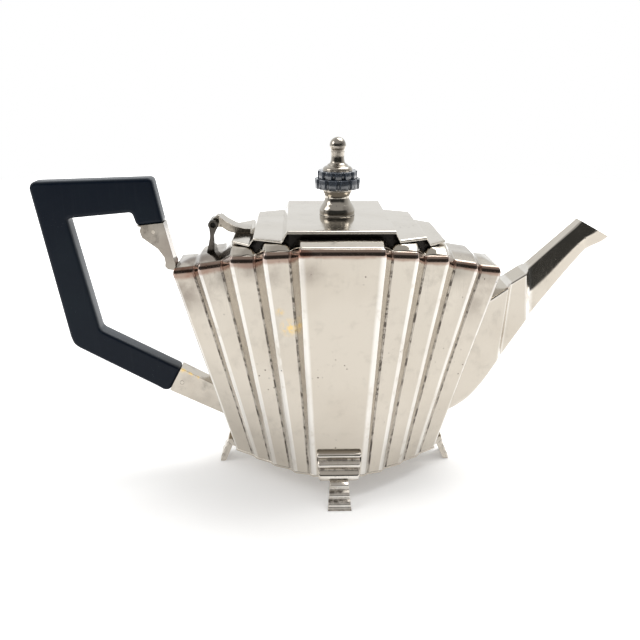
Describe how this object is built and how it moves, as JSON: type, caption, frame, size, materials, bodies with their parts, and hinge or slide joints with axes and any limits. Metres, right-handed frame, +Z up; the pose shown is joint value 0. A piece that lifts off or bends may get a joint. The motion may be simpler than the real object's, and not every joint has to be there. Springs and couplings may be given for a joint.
{
  "type": "teapot",
  "caption": "Stepped fan-shaped silver teapot on four bracket feet, with a box spout, a pinned angular black handle and a hinged stepped lid.",
  "frame": {"origin": "centre of the whole pot's plan outline, on the surface it stands on", "axes": "+X towards the spout, +Z up, the handle lies towards -X"},
  "size_m": [0.2654, 0.1044, 0.1599],
  "materials": {
    "silver": "polished silver plate, lightly tarnished",
    "handle": "satin black",
    "finial_disc": "polished black"
  },
  "bodies": {
    "pot": {"body_shell": "silver", "shoulder_plate": "silver", "base_plate": "silver", "lid_collar": "silver", "spout": "silver", "handle_grip": "handle", "upper_socket": "silver", "lower_socket": "silver", "upper_socket_pin": "silver", "lower_socket_pin": "silver", "hinge_post": "silver", "hinge_pin": "silver", "foot_front": "silver", "foot_rear": "silver", "foot_handle_end": "silver", "foot_spout_end": "silver"},
    "lid": {"hinge_arm": "silver", "lid_plate": "silver", "lid_flange": "silver", "finial_base": "silver", "finial_disc": "finial_disc", "finial_cap": "silver", "finial_stud": "silver", "finial_washer": "silver", "finial_nut": "silver"}
  },
  "joints": [
    {"name": "lid_hinge", "type": "hinge", "parent": "pot", "child": "lid", "pos_m": [-0.05111, 0, 0.121], "axis": [0, -1, 0], "range_deg": [0, 100]}
  ]
}
